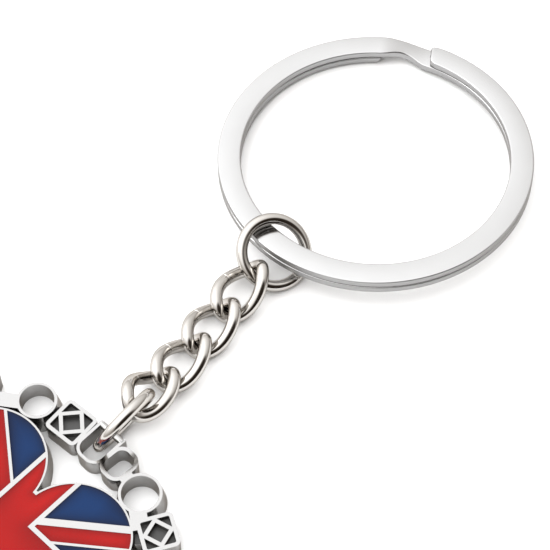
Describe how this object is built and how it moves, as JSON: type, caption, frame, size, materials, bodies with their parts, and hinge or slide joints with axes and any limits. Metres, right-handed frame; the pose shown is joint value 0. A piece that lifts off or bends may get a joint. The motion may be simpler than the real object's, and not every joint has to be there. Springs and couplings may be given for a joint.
{
  "type": "keychain",
  "caption": "Heart-shaped souvenir keychain: cast pendant with enamel cells and openwork arch, hung from a flat split ring by jump rings and a short curb chain.",
  "frame": {"origin": "middle of the enamel cross, on the pendant's flat back plane", "axes": "+Y from the heart's point towards the chain and split ring, +Z out of the enamel face, +X to the right seen from the enamel side"},
  "size_m": [0.0321, 0.0809, 0.0075],
  "materials": {
    "plated_casting": "bright nickel plate over die-cast zinc, polished with slight casting ripple",
    "plated_wire": "bright nickel plate over steel wire, polished",
    "plated_band": "bright nickel plate over flat steel band, polished",
    "enamel_red": "glossy red soft enamel fill",
    "enamel_blue": "glossy deep blue soft enamel fill"
  },
  "bodies": {
    "pendant": {"pendant_casting": "plated_casting", "enamel_cross": "enamel_red", "enamel_diagonal_1": "enamel_red", "enamel_field_upper_1": "enamel_blue", "enamel_field_lower_1": "enamel_blue", "enamel_diagonal_2": "enamel_red", "enamel_field_upper_2": "enamel_blue", "enamel_field_lower_2": "enamel_blue", "enamel_diagonal_3": "enamel_red", "enamel_field_upper_3": "enamel_blue", "enamel_field_lower_3": "enamel_blue", "enamel_diagonal_4": "enamel_red", "enamel_field_upper_4": "enamel_blue", "enamel_field_lower_4": "enamel_blue"},
    "lower_ring": {"jump_ring_lower": "plated_wire"},
    "link_4": {"curb_link_4": "plated_wire"},
    "link_3": {"curb_link_3": "plated_wire"},
    "link_2": {"curb_link_2": "plated_wire"},
    "link_1": {"curb_link_1": "plated_wire"},
    "upper_ring": {"jump_ring_upper": "plated_wire"},
    "split_ring": {"split_ring": "plated_band"}
  },
  "joints": [
    {"name": "pendant_swing", "type": "hinge", "parent": "pendant", "child": "lower_ring", "pos_m": [0.00055, 0.01392, 0.0019], "axis": [1, 0, 0], "range_deg": [-60, 20]},
    {"name": "lower_ring_swivel", "type": "hinge", "parent": "lower_ring", "child": "link_4", "pos_m": [0.00035, 0.01826, 0.00311], "axis": [0.4083, 0.1095, 0.9062], "range_deg": [-45, 45]},
    {"name": "chain_bend_3", "type": "hinge", "parent": "link_4", "child": "link_3", "pos_m": [0.00108, 0.02201, 0.00287], "axis": [-0.66, 0.13, -0.74], "range_deg": [-20, 30]},
    {"name": "chain_bend_2", "type": "hinge", "parent": "link_3", "child": "link_2", "pos_m": [-0.00084, 0.0257, 0.0015], "axis": [-0.8152, -0.1193, 0.5667], "range_deg": [-35, 35]},
    {"name": "chain_bend_1", "type": "hinge", "parent": "link_2", "child": "link_1", "pos_m": [-0.00133, 0.03174, 0.0015], "axis": [0.7283, 0.1896, 0.6585], "range_deg": [-35, 35]},
    {"name": "upper_ring_swivel", "type": "hinge", "parent": "link_1", "child": "upper_ring", "pos_m": [-0.00249, 0.03722, 0.00194], "axis": [0.5197, -0.09, 0.8496], "range_deg": [-35, 35]},
    {"name": "split_ring_turn", "type": "hinge", "parent": "upper_ring", "child": "split_ring", "pos_m": [-0.00263, 0.05395, 0.00199], "axis": [-0.0602, 0.0389, 0.9974], "range_deg": [-120, 120]}
  ]
}
